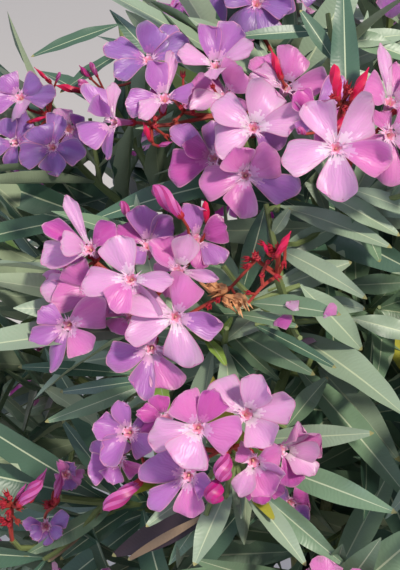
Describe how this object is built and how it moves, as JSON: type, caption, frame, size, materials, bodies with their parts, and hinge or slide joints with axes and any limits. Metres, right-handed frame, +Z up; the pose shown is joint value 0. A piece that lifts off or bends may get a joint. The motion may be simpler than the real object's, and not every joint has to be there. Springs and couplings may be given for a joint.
{
  "type": "potted oleander",
  "caption": "Potted oleander in full pink bloom: upright canes that fork into a domed crown of flower clusters and lance-shaped leaves, in a plain round clay pot.",
  "frame": {"origin": "centre of the pot's flat underside, on the surface it stands on", "axes": "+Z up along the pot's axis; the side that the picture sees faces -Y"},
  "size_m": [0.7055, 0.7067, 0.9858],
  "materials": {
    "terracotta": "unglazed, dry, slightly dusty",
    "soil": "loose, rough, moist",
    "cane_bark": "smooth grey-brown bark",
    "bough_bark": "young green bark",
    "foliage": "leathery grey-green leaves and soft pink blossom"
  },
  "bodies": {
    "root": {"bough_lower_1": "bough_bark", "bough_lower_10": "bough_bark", "bough_lower_11": "bough_bark", "bough_lower_12": "bough_bark", "bough_lower_2": "bough_bark", "bough_lower_3": "bough_bark", "bough_lower_4": "bough_bark", "bough_lower_5": "bough_bark", "bough_lower_6": "bough_bark", "bough_lower_7": "bough_bark", "bough_lower_8": "bough_bark", "bough_lower_9": "bough_bark", "bough_middle_1": "bough_bark", "bough_middle_2": "bough_bark", "bough_middle_3": "bough_bark", "bough_middle_4": "bough_bark", "bough_middle_5": "bough_bark", "bough_middle_6": "bough_bark", "bough_top_1": "bough_bark", "bough_top_2": "bough_bark", "bough_top_3": "bough_bark", "cane_1": "cane_bark", "cane_2": "cane_bark", "cane_3": "cane_bark", "cane_4": "cane_bark", "cane_5": "cane_bark", "cane_6": "cane_bark", "cane_centre": "cane_bark", "foliage_lower_1": "foliage", "foliage_lower_10": "foliage", "foliage_lower_11": "foliage", "foliage_lower_12": "foliage", "foliage_lower_2": "foliage", "foliage_lower_3": "foliage", "foliage_lower_4": "foliage", "foliage_lower_5": "foliage", "foliage_lower_6": "foliage", "foliage_lower_7": "foliage", "foliage_lower_8": "foliage", "foliage_lower_9": "foliage", "foliage_middle_1": "foliage", "foliage_middle_2": "foliage", "foliage_middle_3": "foliage", "foliage_middle_4": "foliage", "foliage_middle_5": "foliage", "foliage_middle_6": "foliage", "foliage_top_1": "foliage", "foliage_top_2": "foliage", "foliage_top_3": "foliage", "pot": "terracotta", "soil": "soil"}
  },
  "joints": []
}
